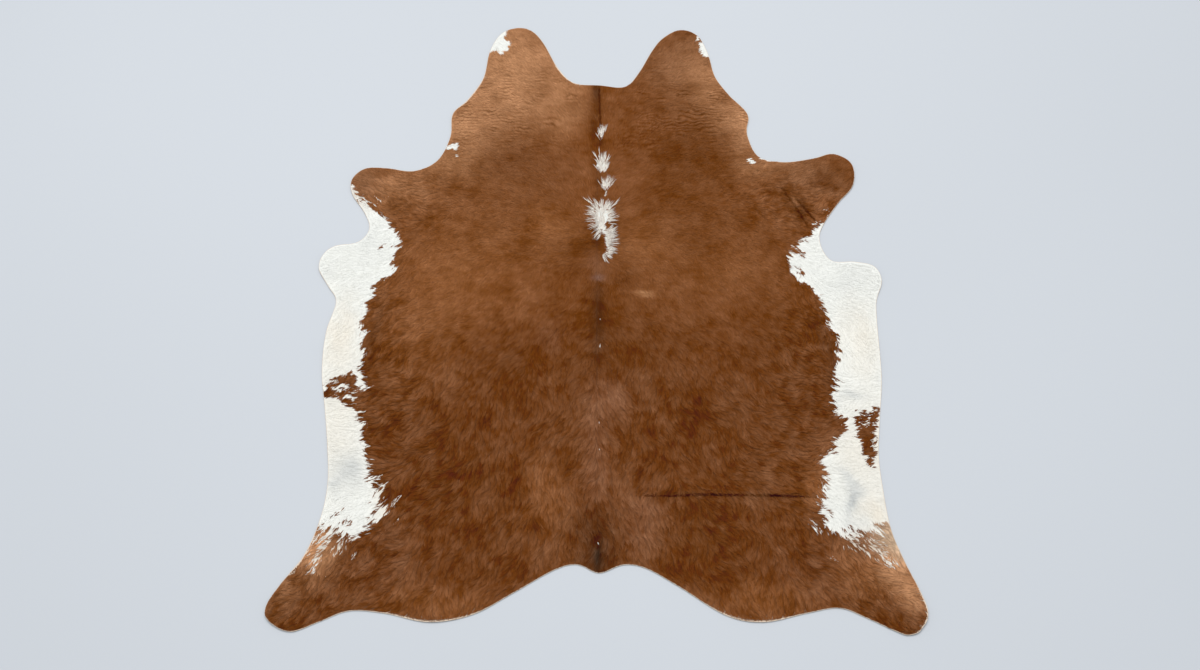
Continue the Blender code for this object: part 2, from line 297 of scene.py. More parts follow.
RIGHT_BORDER = (
    Border("foreleg, back", 0.8, 0.34),
    Border("foreleg, back edge", 0.755, 0.304),
    Border("foreleg, knee", 0.72, 0.255),
    Border("elbow, front", 0.697, 0.24),
    Border("elbow, inside", 0.662, 0.197),
    Border("elbow, back", 0.632, 0.171),
    Border("elbow, innermost", 0.614, 0.138),
    Border("brisket, innermost", 0.608, 0.094),
    Border("brisket, back", 0.64, 0.052),
    Border("girth, step", 0.66, 0.047),
    Border("girth", 0.683, 0.026),
    Border("ribs, front", 0.702, -0.018),
    Border("ribs", 0.722, -0.08),
    Border("ribs, notch", 0.716, -0.107),
    Border("ribs, outermost", 0.745, -0.136),
    Border("ribs, back", 0.741, -0.22),
    Border("flank, notch", 0.716, -0.266),
    Border("flank, front", 0.733, -0.3),
    Border("flank, hollow", 0.712, -0.336),
    Border("flank, back", 0.719, -0.41),
    Border("flank, tuft", 0.745, -0.422),
    Border("stifle, front", 0.735, -0.466),
    Border("stifle", 0.704, -0.528),
    Border("stifle, hollow", 0.668, -0.552),
    Border("stifle, back", 0.672, -0.64),
    Border("thigh, first notch", 0.645, -0.66),
    Border("thigh, first tuft", 0.669, -0.693),
    Border("thigh, second notch", 0.641, -0.716),
    Border("thigh, second tuft", 0.668, -0.785),
    Border("hind leg, inside", 0.72, -0.79),
    Border("hind leg, middle", 0.775, -0.778),
    Border("hind leg, outside", 0.822, -0.762),
    Border("hind leg, edge", 0.9, -0.73),
)
PAST_EDGE = 1.2  # a distance out from the spine that is past the hide on both sides

# Smaller marks, each a short outline in one coat's colour: "white" on brown, or "brown" on white.
Mark = namedtuple("Mark", "place coat outline")
MARKS = (
    Mark("neck point, left", "white", (
        (-0.316, 1.062), (-0.326, 1.022), (-0.305, 1.01), (-0.308, 0.98), (-0.331, 0.956),
        (-0.352, 0.97), (-0.4, 0.965), (-0.4, 1.08),
    )),
    Mark("neck point, right", "white", (
        (0.353, 1.012), (0.356, 0.96), (0.376, 0.943), (0.42, 0.96), (0.4, 1.01),
    )),
    Mark("neck point, right fleck", "white", (
        (0.346, 1.034), (0.344, 1.02), (0.358, 1.018), (0.362, 1.032),
    )),
    Mark("shoulder, left spot", "white", (
        (-0.492, 0.58), (-0.47, 0.586), (-0.458, 0.57), (-0.472, 0.556), (-0.505, 0.56),
    )),
    Mark("shoulder, left fleck", "white", (
        (-0.468, 0.534), (-0.456, 0.534), (-0.458, 0.522), (-0.468, 0.524),
    )),
    Mark("shoulder, right spot", "white", (
        (0.494, 0.518), (0.51, 0.526), (0.528, 0.508), (0.51, 0.5),
    )),
    Mark("shoulder, right edge", "white", (
        (0.536, 0.526), (0.562, 0.52), (0.584, 0.512), (0.582, 0.506), (0.556, 0.512),
    )),
    Mark("brisket streak, right", "brown", (
        (0.624, 0.11), (0.636, 0.108), (0.652, 0.08), (0.644, 0.072),
    )),
    Mark("withers tuft", "white", (
        (0.01, 0.466), (0.003, 0.484), (0.01, 0.504), (0.022, 0.504), (0.031, 0.488),
        (0.022, 0.466),
    )),
    Mark("withers tuft, second", "white", (
        (0.028, 0.396), (0.022, 0.418), (0.034, 0.42), (0.034, 0.4),
    )),
    Mark("star", "white", (
        (-0.002, 0.272), (0.0, 0.302), (0.01, 0.326), (0.028, 0.326), (0.038, 0.304),
        (0.034, 0.282), (0.026, 0.262), (0.032, 0.24), (0.04, 0.222), (0.042, 0.19),
        (0.034, 0.172), (0.028, 0.178), (0.028, 0.2), (0.022, 0.228), (0.01, 0.246),
    )),
    Mark("flank curl, left", "brown", (
        (-0.84, -0.34), (-0.819, -0.317), (-0.793, -0.291), (-0.751, -0.262),
        (-0.742, -0.281), (-0.729, -0.297), (-0.721, -0.323), (-0.68, -0.34),
        (-0.68, -0.385), (-0.715, -0.396), (-0.737, -0.392), (-0.771, -0.359),
        (-0.807, -0.345), (-0.84, -0.36),
    )),
    Mark("flank curl, left upper gap", "white", (
        (-0.798, -0.318), (-0.775, -0.308), (-0.749, -0.306), (-0.742, -0.316),
        (-0.771, -0.322), (-0.792, -0.33),
    )),
    Mark("flank curl, left lower gap", "white", (
        (-0.774, -0.343), (-0.75, -0.344), (-0.734, -0.354), (-0.727, -0.369),
        (-0.749, -0.361), (-0.768, -0.355),
    )),
    Mark("stifle patch, right", "brown", (
        (0.77, -0.425), (0.783, -0.41), (0.8, -0.403), (0.818, -0.392), (0.86, -0.396),
        (0.845, -0.42), (0.832, -0.435), (0.826, -0.485), (0.818, -0.535), (0.81, -0.574),
        (0.799, -0.572), (0.794, -0.545), (0.783, -0.52), (0.779, -0.485),
    )),
    Mark("stifle patch, right gap", "white", (
        (0.8, -0.418), (0.812, -0.412), (0.822, -0.428), (0.826, -0.448), (0.816, -0.436),
    )),
    Mark("elbow fleck, right", "brown", (
        (0.634, 0.168), (0.652, 0.168), (0.654, 0.146), (0.638, 0.146),
    )),
    Mark("elbow dot, left upper", "brown", (
        (-0.69, 0.189), (-0.682, 0.189), (-0.682, 0.18), (-0.69, 0.18),
    )),
    Mark("elbow dot, left lower", "brown", (
        (-0.697, 0.178), (-0.688, 0.178), (-0.688, 0.169), (-0.697, 0.169),
    )),
    Mark("thigh fleck, left", "white", (
        (-0.6, -0.676), (-0.58, -0.678), (-0.582, -0.69), (-0.598, -0.69),
    )),
    Mark("thigh fleck, right", "white", (
        (0.616, -0.748), (0.632, -0.75), (0.632, -0.76), (0.618, -0.76),
    )),
    Mark("stifle speck, right", "brown", (
        (0.796, -0.56), (0.814, -0.562), (0.812, -0.576), (0.798, -0.574),
    )),
)

# Where the two coats are mixed. "share" is how much of the other coat's hair grows there, "comb"
# how far streaks of one coat reach into the other, and "heading" the way that the streaks run, in
# degrees from +X towards +Y.
Roan = namedtuple("Roan", "place x y across along heading share comb")
ROANS = (
    Roan("foreleg back edge, left", -0.75, 0.36, 0.05, 0.045, 140.0, 0.3, 0.024),
    Roan("foreleg back edge, right", 0.738, 0.292, 0.046, 0.034, 38.0, 0.34, 0.026),
    Roan("elbow, right", 0.65, 0.19, 0.04, 0.08, -45.0, 0.25, 0.016),
    Roan("brisket, left", -0.655, 0.14, 0.035, 0.08, -130.0, 0.2, 0.014),
    Roan("ribs, left", -0.715, -0.11, 0.05, 0.15, -150.0, 0.0, 0.01),
    Roan("ribs, right", 0.72, -0.12, 0.05, 0.16, -35.0, 0.0, 0.01),
    Roan("flank curl, left", -0.77, -0.325, 0.06, 0.05, 165.0, 0.2, 0.012),
    Roan("flank, left", -0.7, -0.44, 0.04, 0.08, 195.0, 0.0, 0.01),
    Roan("thigh, left", -0.63, -0.69, 0.06, 0.08, 228.0, 0.22, 0.034),
    Roan("hind leg, left", -0.74, -0.795, 0.08, 0.064, 232.0, 0.46, 0.044),
    Roan("hind leg, left outside", -0.8, -0.835, 0.04, 0.05, 230.0, 0.5, 0.024),
    Roan("flank, right", 0.745, -0.365, 0.04, 0.05, -20.0, 0.1, 0.012),
    Roan("stifle patch, right", 0.81, -0.47, 0.04, 0.08, -76.0, 0.3, 0.024),
    Roan("stifle, right", 0.71, -0.52, 0.05, 0.06, 18.0, 0.1, 0.018),
    Roan("thigh, right", 0.655, -0.7, 0.05, 0.08, -58.0, 0.1, 0.03),
    Roan("hind leg, right", 0.765, -0.8, 0.08, 0.055, -54.0, 0.44, 0.044),
    Roan("hind leg, right outside", 0.8, -0.845, 0.045, 0.06, -58.0, 0.58, 0.02),
)
STREAK_ACROSS = 0.0055  # breadth of a streak in a mixed place
STREAK_ALONG = 0.055  # and its length

# The way that the hair lies, in degrees from +X towards +Y, on the right half of the hide. The
# left half mirrors it.
Lay = namedtuple("Lay", "place x y heading")
LAYS = (
    Lay("neck notch", 0.01, 0.8, 80.0),
    Lay("spine, neck", 0.005, 0.6, 86.0),
    Lay("spine, withers", 0.005, 0.38, 80.0),
    Lay("neck, beside the spine", 0.1, 0.72, 42.0),
    Lay("withers, beside the spine", 0.1, 0.48, 40.0),
    Lay("withers, above the whorl", 0.1, 0.3, 26.0),
    Lay("neck, middle", 0.25, 0.78, 15.0),
    Lay("neck point", 0.29, 1.0, 40.0),
    Lay("neck, side", 0.4, 0.8, -5.0),
    Lay("shoulder point", 0.47, 0.65, -15.0),
    Lay("shoulder, upper", 0.3, 0.5, 8.0),
    Lay("shoulder, lower", 0.32, 0.28, -12.0),
    Lay("armpit", 0.54, 0.48, -5.0),
    Lay("foreleg", 0.7, 0.42, 14.0),
    Lay("foreleg toe", 0.82, 0.47, 28.0),
    Lay("foreleg, back edge", 0.74, 0.33, 38.0),
    Lay("shoulder, outside", 0.5, 0.25, -32.0),
    Lay("elbow", 0.7, 0.2, -30.0),
    Lay("flap", 0.85, 0.08, -25.0),
    Lay("brisket", 0.61, 0.11, -46.0),
    Lay("whorl, right", 0.08, 0.17, -20.0),
    Lay("whorl, below", 0.01, 0.08, -84.0),
    Lay("back, beside the spine", 0.15, 0.04, -68.0),
    Lay("ribs", 0.38, 0.02, -56.0),
    Lay("ribs, outside", 0.65, -0.08, -50.0),
    Lay("belly, upper", 0.8, -0.18, -58.0),
    Lay("belly, lower", 0.8, -0.43, 4.0),
    Lay("flank", 0.68, -0.44, -8.0),
    Lay("loin", 0.12, -0.3, -82.0),
    Lay("flank, inside", 0.45, -0.3, -58.0),
    Lay("hip", 0.3, -0.52, -72.0),
    Lay("stifle", 0.74, -0.56, 12.0),
    Lay("thigh, upper", 0.56, -0.62, -48.0),
    Lay("hock", 0.72, -0.72, -56.0),
    Lay("rump", 0.12, -0.7, -82.0),
    Lay("thigh", 0.42, -0.82, -66.0),
    Lay("thigh edge", 0.45, -1.0, -76.0),
    Lay("hind leg", 0.72, -0.86, -50.0),
    Lay("hind toe", 0.88, -1.0, -40.0),
    Lay("tail", 0.01, -0.86, -88.0),
)
LAY_REACH = 0.11  # how far one entry of the table rules

# Loose white hair along the spine. Each fan is rooted along the line from one place to the other,
# within a band, and its hairs turn from the first heading to the second on the way, give or take
# the spread in degrees.
Fan = namedtuple(
    "Fan", "place x_from y_from x_to y_to band heading_from heading_to spread length hairs"
)
FANS = (
    Fan("neck wisp", 0.01, 0.64, 0.012, 0.646, 0.003, 100.0, 72.0, 14.0, 0.018, 8),
    Fan("neck tuft", 0.014, 0.592, 0.017, 0.606, 0.004, 102.0, 80.0, 7.0, 0.048, 160),
    Fan("withers tuft, lower", 0.013, 0.458, 0.021, 0.462, 0.006, 120.0, 60.0, 9.0, 0.042, 220),
    Fan("withers tuft, upper", 0.012, 0.486, 0.023, 0.49, 0.006, 114.0, 66.0, 9.0, 0.046, 200),
    Fan("withers tuft, left hair", 0.005, 0.506, 0.003, 0.514, 0.002, 112.0, 120.0, 4.0, 0.058, 12),
    Fan("withers tuft, mid hair", 0.01, 0.506, 0.014, 0.514, 0.003, 102.0, 96.0, 5.0, 0.05, 14),
    Fan("withers tuft, right hair", 0.021, 0.506, 0.023, 0.514, 0.002, 84.0, 74.0, 4.0, 0.056, 12),
    Fan("second tuft", 0.028, 0.39, 0.031, 0.4, 0.004, 118.0, 56.0, 7.0, 0.05, 220),
    Fan("strand", 0.016, 0.346, 0.028, 0.38, 0.001, 62.0, 68.0, 4.0, 0.024, 36),
    Fan("star, crown", 0.008, 0.314, 0.028, 0.314, 0.006, 120.0, 60.0, 5.0, 0.044, 240),
    Fan("star, left side", 0.01, 0.316, 0.012, 0.286, 0.004, 132.0, 176.0, 5.0, 0.046, 200),
    Fan("star, left foot", 0.012, 0.286, 0.018, 0.24, 0.004, 176.0, 244.0, 5.0, 0.044, 240),
    Fan("star, right side", 0.025, 0.322, 0.029, 0.27, 0.004, 52.0, -6.0, 6.0, 0.04, 320),
    Fan("star, heart", 0.018, 0.236, 0.018, 0.312, 0.01, 96.0, 88.0, 16.0, 0.03, 420),
    Fan("star, left point", 0.001, 0.322, -0.001, 0.326, 0.002, 132.0, 128.0, 3.0, 0.056, 18),
    Fan("star, right point", 0.04, 0.322, 0.043, 0.327, 0.002, 52.0, 46.0, 3.0, 0.05, 18),
    Fan("lower fan", 0.027, 0.236, 0.024, 0.172, 0.003, 44.0, -24.0, 5.0, 0.042, 480),
    Fan("lower fan, heart", 0.022, 0.236, 0.03, 0.186, 0.003, 40.0, -6.0, 10.0, 0.024, 200),
    Fan("last fan", 0.023, 0.166, 0.014, 0.15, 0.003, -16.0, -68.0, 6.0, 0.038, 180),
    Fan("back speck", 0.009, -0.07, 0.009, -0.076, 0.001, -88.0, -88.0, 6.0, 0.018, 3),
    Fan("loin speck", 0.009, -0.16, 0.009, -0.172, 0.002, -86.0, -88.0, 6.0, 0.026, 10),
    Fan("hip speck", 0.008, -0.426, 0.008, -0.432, 0.001, -88.0, -88.0, 6.0, 0.016, 3),
    Fan("rump speck", 0.007, -0.512, 0.007, -0.52, 0.001, -86.0, -86.0, 6.0, 0.018, 4),
    Fan("tail hair", 0.0, -0.8, 0.003, -0.806, 0.001, -58.0, -76.0, 6.0, 0.04, 6),
)
HAIRS_IN_WISP = 4  # hairs that share a tip
WISP_BREADTH = 0.0021  # a wisp at its root
STRAYS = 9000  # places tried for a stray hair
STRAY_TURN = 26.0  # how far stray hairs turn from the others, in degrees
STRAY_INSET = 0.02  # no stray hair is rooted closer to the cut edge

# Fine creases in the skin, as soft troughs from one end to the other. "dark" is how much painted
# shade deepens the coat's colour along the line. Dark hair lies in the deep ones as painted shadow.
Crease = namedtuple("Crease", "place x_from y_from x_to y_to depth half_width dark")
CREASES = (
    Crease("fold, right outer", 0.33, -0.664, 0.632, -0.67, 0.0018, 0.007, 0.52),
    Crease("fold, right inner", 0.13, -0.668, 0.33, -0.664, 0.0016, 0.007, 0.4),
    Crease("fold, left", -0.5, -0.664, -0.27, -0.668, 0.0008, 0.006, 0.15),
    Crease("fold, white step", 0.733, -0.659, 0.841, -0.66, 0.001, 0.005, 0.12),
    Crease("foreleg, right outer", 0.64, 0.372, 0.699, 0.284, 0.002, 0.009, 0.46),
    Crease("foreleg, right inner", 0.601, 0.412, 0.677, 0.262, 0.002, 0.009, 0.36),
    Crease("foreleg, left upper", -0.646, 0.399, -0.56, 0.33, 0.001, 0.007, 0.18),
    Crease("foreleg, left middle", -0.62, 0.34, -0.54, 0.28, 0.001, 0.007, 0.18),
    Crease("foreleg, left lower", -0.59, 0.29, -0.507, 0.245, 0.001, 0.007, 0.15),
    Crease("spine, loin", 0.01, 0.05, 0.008, -0.225, 0.0008, 0.009, 0.16),
    Crease("spine, rump", 0.008, -0.225, 0.008, -0.68, 0.0006, 0.006, 0.1),
    Crease("spine, neck", 0.008, 0.82, 0.012, 0.66, 0.001, 0.007, 0.3),
)
DEEP_CREASE = 0.25  # creases with at least this much painted shade are deep
CREASE_SHADOW_HAIR_STEP = 0.0007  # spacing of the dark hairs laid in them as painted shadow
CREASE_SHADOW_HAIR_WIDTH = 0.0018  # one of those at its root

# Stretches of the cut edge where the pale leather shows past the hair.
Lip = namedtuple("Lip", "place x y across along")
LIPS = (
    Lip("thigh, left", -0.47, -1.03, 0.16, 0.06),
    Lip("thigh, right", 0.43, -1.03, 0.14, 0.06),
    Lip("hind leg, left outside", -0.83, -0.85, 0.06, 0.09),
    Lip("hind toe, right", 0.92, -1.0, 0.05, 0.08),
    Lip("neck, left outside", -0.44, 0.8, 0.08, 0.1),
    Lip("neck notch, left", -0.12, 0.86, 0.08, 0.06),
)


# ---- Soft shapes over the hide -------------------------------------------------------------

LOW_X, LOW_Y = CAD_LOW.x - FIELD_MARGIN, CAD_LOW.y - FIELD_MARGIN
FIELD_COLUMNS = math.ceil((CAD_HIGH.x - CAD_LOW.x + 2 * FIELD_MARGIN) / FIELD_STEP) + 1
FIELD_ROWS = math.ceil((CAD_HIGH.y - CAD_LOW.y + 2 * FIELD_MARGIN) / FIELD_STEP) + 1
FIELD_X, FIELD_Y = np.meshgrid(
    LOW_X + FIELD_STEP * np.arange(FIELD_COLUMNS), LOW_Y + FIELD_STEP * np.arange(FIELD_ROWS)
)


def between_grid_points(values, column, row):
    """Values of a grid at fractional columns and rows, mixed from the four points round each."""
    left = np.floor(column).astype(int)
    below = np.floor(row).astype(int)
    across = column - left
    up = row - below
    rows, columns = values.shape
    left_side = values[below % rows, left % columns] * (1 - up)
    left_side += values[(below + 1) % rows, left % columns] * up
    right_side = values[below % rows, (left + 1) % columns] * (1 - up)
    right_side += values[(below + 1) % rows, (left + 1) % columns] * up
    return left_side * (1 - across) + right_side * across


def read_field(values, x, y):
    """A field's value at places on the hide."""
    column = np.clip((x - LOW_X) / FIELD_STEP, 0, FIELD_COLUMNS - 1.001)
    row = np.clip((y - LOW_Y) / FIELD_STEP, 0, FIELD_ROWS - 1.001)
    return between_grid_points(values, column, row)


NOISE_TABLE = np.random.default_rng(SEED).uniform(-1, 1, (256, 256))


def ripple(x, y, size, pattern):
    """Smooth unevenness from -1 to 1 with bumps of that size. Each pattern number has its own."""
    angle = 0.7 + pattern * 2.4
    column = (x * math.cos(angle) - y * math.sin(angle)) / size + 37.3 * pattern
    row = (x * math.sin(angle) + y * math.cos(angle)) / size + 11.9 * pattern
    left, below = np.floor(column), np.floor(row)
    across, up = column - left, row - below
    eased_column = left + across * across * (3 - 2 * across)
    eased_row = below + up * up * (3 - 2 * up)
    return between_grid_points(NOISE_TABLE, eased_column, eased_row)


def soft_fall(share):
    """1 in the middle, falling smoothly to 0 at a share of 1 and past it."""
    return np.where(share < 1, (1 - share * share) ** 2, 0.0)


def soft_step(low, high, value):
    """0 up to low, 1 from high on, and a smooth rise between them."""
    share = np.clip((value - low) / (high - low), 0, 1)
    return share * share * (3 - 2 * share)


def distance_from(x, y, row):
    """How far places are from the middle of a soft oval area, squared, with 1 at its reach."""
    return ((x - row.x) / row.across) ** 2 + ((y - row.y) / row.along) ** 2


def bent(x, y, reach, size, pattern_x, pattern_y):
    """Places moved about by smooth unevenness, as x and y."""
    return (
        x + reach * ripple(x, y, size, pattern_x),
        y + reach * ripple(x, y, size, pattern_y),
    )


def distance_to_run(x, y, x_from, y_from, x_to, y_to):
    """How far places are from the straight run between two ends."""
    run_x, run_y = x_to - x_from, y_to - y_from
    share = ((x - x_from) * run_x + (y - y_from) * run_y) / (run_x * run_x + run_y * run_y)
    share = np.clip(share, 0, 1)
    return np.hypot(x - x_from - share * run_x, y - y_from - share * run_y)


def is_within(x, y, outline):
    """Whether places are inside an outline, by the sides that a line from each to +X crosses."""
    inside = np.zeros(np.shape(x), bool)
    for (x_a, y_a), (x_b, y_b) in zip(outline, outline[1:] + outline[:1]):
        if y_a != y_b:
            side = x_a + (x_b - x_a) * (y - y_a) / (y_b - y_a)
            inside ^= ((y_a > y) != (y_b > y)) & (x < side)
    return inside


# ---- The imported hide's outline and heights --------------------------------------------------


def merged_copy(node):
    """A CAD node's mesh with its loose triangles joined. The node itself is left alone."""
    mesh = bmesh.new()
    mesh.from_mesh(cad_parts[node].data)
    bmesh.ops.remove_doubles(mesh, verts=mesh.verts, dist=MERGE)
    mesh.normal_update()
    return mesh


def top_rim(mesh):
    """The outline of the faces that point up, as x and y in order."""
    rim = {e for e in mesh.edges if sum(f.normal.z > 0.5 for f in e.link_faces) == 1}
    edge = next(iter(sorted(rim, key=lambda e: e.index)))
    start = vert = edge.verts[0]
    points = []
    while True:
        points.append((vert.co.x, vert.co.y))
        vert = edge.other_vert(vert)
        if vert == start:
            return points
        edge = next(e for e in vert.link_edges if e in rim and e != edge)


def smooth_loop(points, step):
    """A closed smooth curve through the points, as a list of points that step apart."""
    knots = np.array(points)
    made = []
    for index in range(len(knots)):
        before, start, end, after = (knots[(index + n) % len(knots)] for n in (-1, 0, 1, 2))
        count = max(1, round(float(np.linalg.norm(end - start)) / step))
        for share in np.arange(count) / count:
            s2 = share * share
            s3 = s2 * share
            made.append(tuple(
                (2 * s3 - 3 * s2 + 1) * start + (s3 - 2 * s2 + share) * (end - before) / 2
                + (3 * s2 - 2 * s3) * end + (s3 - s2) * (after - start) / 2
            ))
    return made


def edge_distance(outline):
    """A field of the distance to the cut edge, positive inside the hide."""
    nearest = np.full(FIELD_X.shape, 1.0)
    for (x_a, y_a), (x_b, y_b) in zip(outline, outline[1:] + outline[:1]):
        nearest = np.minimum(nearest, distance_to_run(FIELD_X, FIELD_Y, x_a, y_a, x_b, y_b))
    return np.where(is_within(FIELD_X, FIELD_Y, outline), nearest, -nearest)


def top_height(mesh):
    """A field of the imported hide's top, which keeps its height a little way past the edge."""
    tree = BVHTree.FromBMesh(mesh)
    heights = np.empty(FIELD_X.shape)
    for place in np.ndindex(heights.shape):
        x, y = FIELD_X[place], FIELD_Y[place]
        hit = tree.ray_cast(Vector((x, y, 1.0)), Vector((0.0, 0.0, -1.0)))[0]
        if hit is None:
            hit = tree.find_nearest(Vector((x, y, LEATHER + COAT_DEPTH)))[0]
        heights[place] = hit.z
    for _ in range(3):
        across = (np.roll(heights, 1, 1) + 2 * heights + np.roll(heights, -1, 1)) / 4
        heights = (np.roll(across, 1, 0) + 2 * across + np.roll(across, -1, 0)) / 4
    return heights


packed_hide = merged_copy("hide")
RIM_POINTS = smooth_loop(top_rim(packed_hide), RIM_STEP)
EDGE_FIELD = edge_distance(RIM_POINTS)
TOP_FIELD = top_height(packed_hide)
packed_hide.free()


def inside_edge(x, y):
    """Distance in from the cut edge, negative outside it."""
    return read_field(EDGE_FIELD, x, y)


def neck_wrinkle(x, y):
    """Fine folds of loose skin across the neck, from -1 to 1, and 0 away from it."""
    where = soft_step(0.50, 0.64, y) * soft_step(0.95, 0.80, y) * soft_step(0.02, 0.10, np.abs(x))
    wander = 0.014 * ripple(x, y, 0.060, 1) + 0.006 * ripple(x, y, 0.022, 2)
    folds = 0.4 - 1.4 * np.abs(np.cos((y + wander + 0.05 * np.abs(x)) * math.pi / 0.013)) ** 5
    return where * folds * soft_step(-0.3, 0.7, ripple(x, y, 0.035, 3))


def skin_height(x, y):
    """The leather's hair side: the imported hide's top less its coat, with the fine creases."""
    height = read_field(TOP_FIELD, x, y) - COAT_DEPTH
    for row in CREASES:
        away = distance_to_run(x, y, row.x_from, row.y_from, row.x_to, row.y_to)
        height = height - row.depth * soft_fall(away / row.half_width)
    height = height + WRINKLE_HEIGHT * (1 + neck_wrinkle(x, y))
    height = height + SWELL_HEIGHT * (1 + ripple(x, y, 0.055, 4))
    height = height + GRAIN_HEIGHT * ripple(x, y, 0.018, 5)
    return np.maximum(height, LEATHER)


# ---- The markings ---------------------------------------------------------------------------


def toned(x, y, colour, tones):
    """A base colour with soft areas of other shades laid over it."""
    for row in tones:
        weight = (row.strength * np.exp(-distance_from(x, y, row)))[:, None]
        colour = colour + (row.shade - colour) * weight
    return colour


def roughness(x, y):
    """How tufted the coat is: sleek in front, and rough behind and along the flanks."""
    behind = soft_step(0.15, -0.45, y)
    flank = soft_step(0.50, 0.68, np.abs(x)) * soft_step(0.50, 0.30, y)
    foreleg = np.exp(-(((np.abs(x) - 0.60) / 0.14) ** 2 + ((y - 0.36) / 0.10) ** 2))
    return np.clip(behind + flank + 1.5 * foreleg, 0, 1.3)


def brown_coat(x, y):
    """The brown coat's colour: chestnut in front, russet behind, its soft areas and mottling, with
    painted sheen and painted shade on the neck's folds.
    """
    behind = soft_step(0.05, -0.35, y + 0.03 * ripple(x, y, 0.15, 6))[:, None]
    base = CHESTNUT + (RUSSET - CHESTNUT) * behind
    colour = toned(*bent(x, y, 0.025, 0.070, 7, 8), base, BROWN_TONES)
    colour = toned(x, y, colour, SPINE_TONES)
    rough = roughness(x, y)
    # painted light and shade on the neck's fine folds, darker in their troughs
    mottle = WRINKLE_PAINTED_SHADE * neck_wrinkle(x, y)
    mottle += SLEEK_STREAK * np.maximum(1 - rough, 0) * ripple(x / 3, y, 0.009, 24)
    for row in MOTTLES:
        mottle += (row.depth + row.tufted * rough) * ripple(x, y, row.size, row.pattern)
    mottle = mottle[:, None]
    # painted sheen: paler patches take on a grey haze, and darker ones lose it
    painted_sheen = MOTTLE_SHEEN * np.maximum(mottle, SHEEN_LIMIT)
    return np.maximum(colour * (1 + mottle) + painted_sheen, DARKEST)


def under_sheen(colour):
    """The colour of hair that shows as the given one, with the sheen over it and gaps beside it."""
    return np.maximum(colour - SHEEN_VEIL, 0.5 * DARKEST) * GAP_GAIN


def white_coat(x, y):
    """The white coat's colour, with its grey and cream patches and a faint painted shade."""
    base = np.broadcast_to(MILK, (len(x), 3))
    colour = toned(*bent(x, y, 0.022, 0.045, 13, 14), base, WHITE_TONES)
    # faint painted shade over the white coat
    shadow = 0.018 * ripple(x, y, 0.050, 15) + 0.008 * ripple(x, y, 0.014, 16)
    return colour * (0.975 + shadow)[:, None]


def flank_outline(border, side):
    """The white flank as a closed outline: its border, and a way back past the hide's edge."""
    points = [(row.x, row.y) for row in border]
    return [(side * PAST_EDGE, points[0][1]), *points, (side * PAST_EDGE, points[-1][1])]


def is_white(x, y, chance):
    """Which locks of hair are white. Places are shifted, so that borders are ragged or combed."""
    coarse_x, coarse_y = bent(x, y, 0.005, 0.012, 17, 19)
    fine_x, fine_y = bent(x, y, 0.002, 0.005, 18, 20)
    ragged_x, ragged_y = coarse_x + fine_x - x, coarse_y + fine_y - y
    flecked = np.zeros(x.shape, bool)
    for index, row in enumerate(ROANS):
        away = distance_from(x, y, row)
        turn = math.radians(row.heading + 8 * math.sin(index))
        along = (x - row.x) * math.cos(turn) + (y - row.y) * math.sin(turn)
        across = (y - row.y) * math.cos(turn) - (x - row.x) * math.sin(turn)
        across = across + 0.004 * ripple(x, y, 0.030, 21 + index)
        streak = ripple(across / STREAK_ACROSS, along / STREAK_ALONG, 1.0, 0)
        comb = row.comb * np.exp(-away / 2) * (1.6 * streak + 0.4 * (chance - 0.5))
        ragged_x = ragged_x + comb * math.cos(turn)
        ragged_y = ragged_y + comb * math.sin(turn)
        fleck = streak + 0.3 * ripple(x, y, 0.03, 51 + index) + 0.4 * (chance - 0.5)
        flecked |= (fleck > 1.30 - 1.9 * row.share * np.exp(-away / 2)) & (away < 3)
    white = is_within(ragged_x, ragged_y, flank_outline(LEFT_BORDER, -1))
    white |= is_within(ragged_x, ragged_y, flank_outline(RIGHT_BORDER, 1))
    for mark in MARKS:
        here = is_within(ragged_x, ragged_y, list(mark.outline))
        white = np.where(here, mark.coat == "white", white)
    return white ^ flecked


# ---- The lie of the hair --------------------------------------------------------------------


def lie(x, y):
    """The way that hair lies at places on the hide, as an angle from +X towards +Y."""
    side = np.where(x < 0, -1.0, 1.0)
    out = np.abs(x)
    along_x, along_y = np.zeros(x.shape), np.zeros(x.shape)
    for row in LAYS:
        weight = 1 / (0.0004 + ((out - row.x) ** 2 + (y - row.y) ** 2) / LAY_REACH**2) ** 1.5
        along_x += weight * math.cos(math.radians(row.heading))
        along_y += weight * math.sin(math.radians(row.heading))
    angle = np.arctan2(along_y, along_x * side)
    rough = roughness(x, y)
    swirl = (8 + 22 * rough) * ripple(x, y, 0.060, 40) + (5 + 17 * rough) * ripple(x, y, 0.026, 41)
    return angle + np.radians(swirl)


def hair_length(x, y):
    """Short on the neck and legs, and longest over the rump."""
    behind = soft_step(0.15, -0.60, y)
    leg = soft_step(0.55, 0.80, np.abs(x))
    return LEG_HAIR + REAR_HAIR * behind * (1 - 0.6 * leg) + BODY_HAIR * (1 - leg)


Clump = namedtuple("Clump", "across along mood")


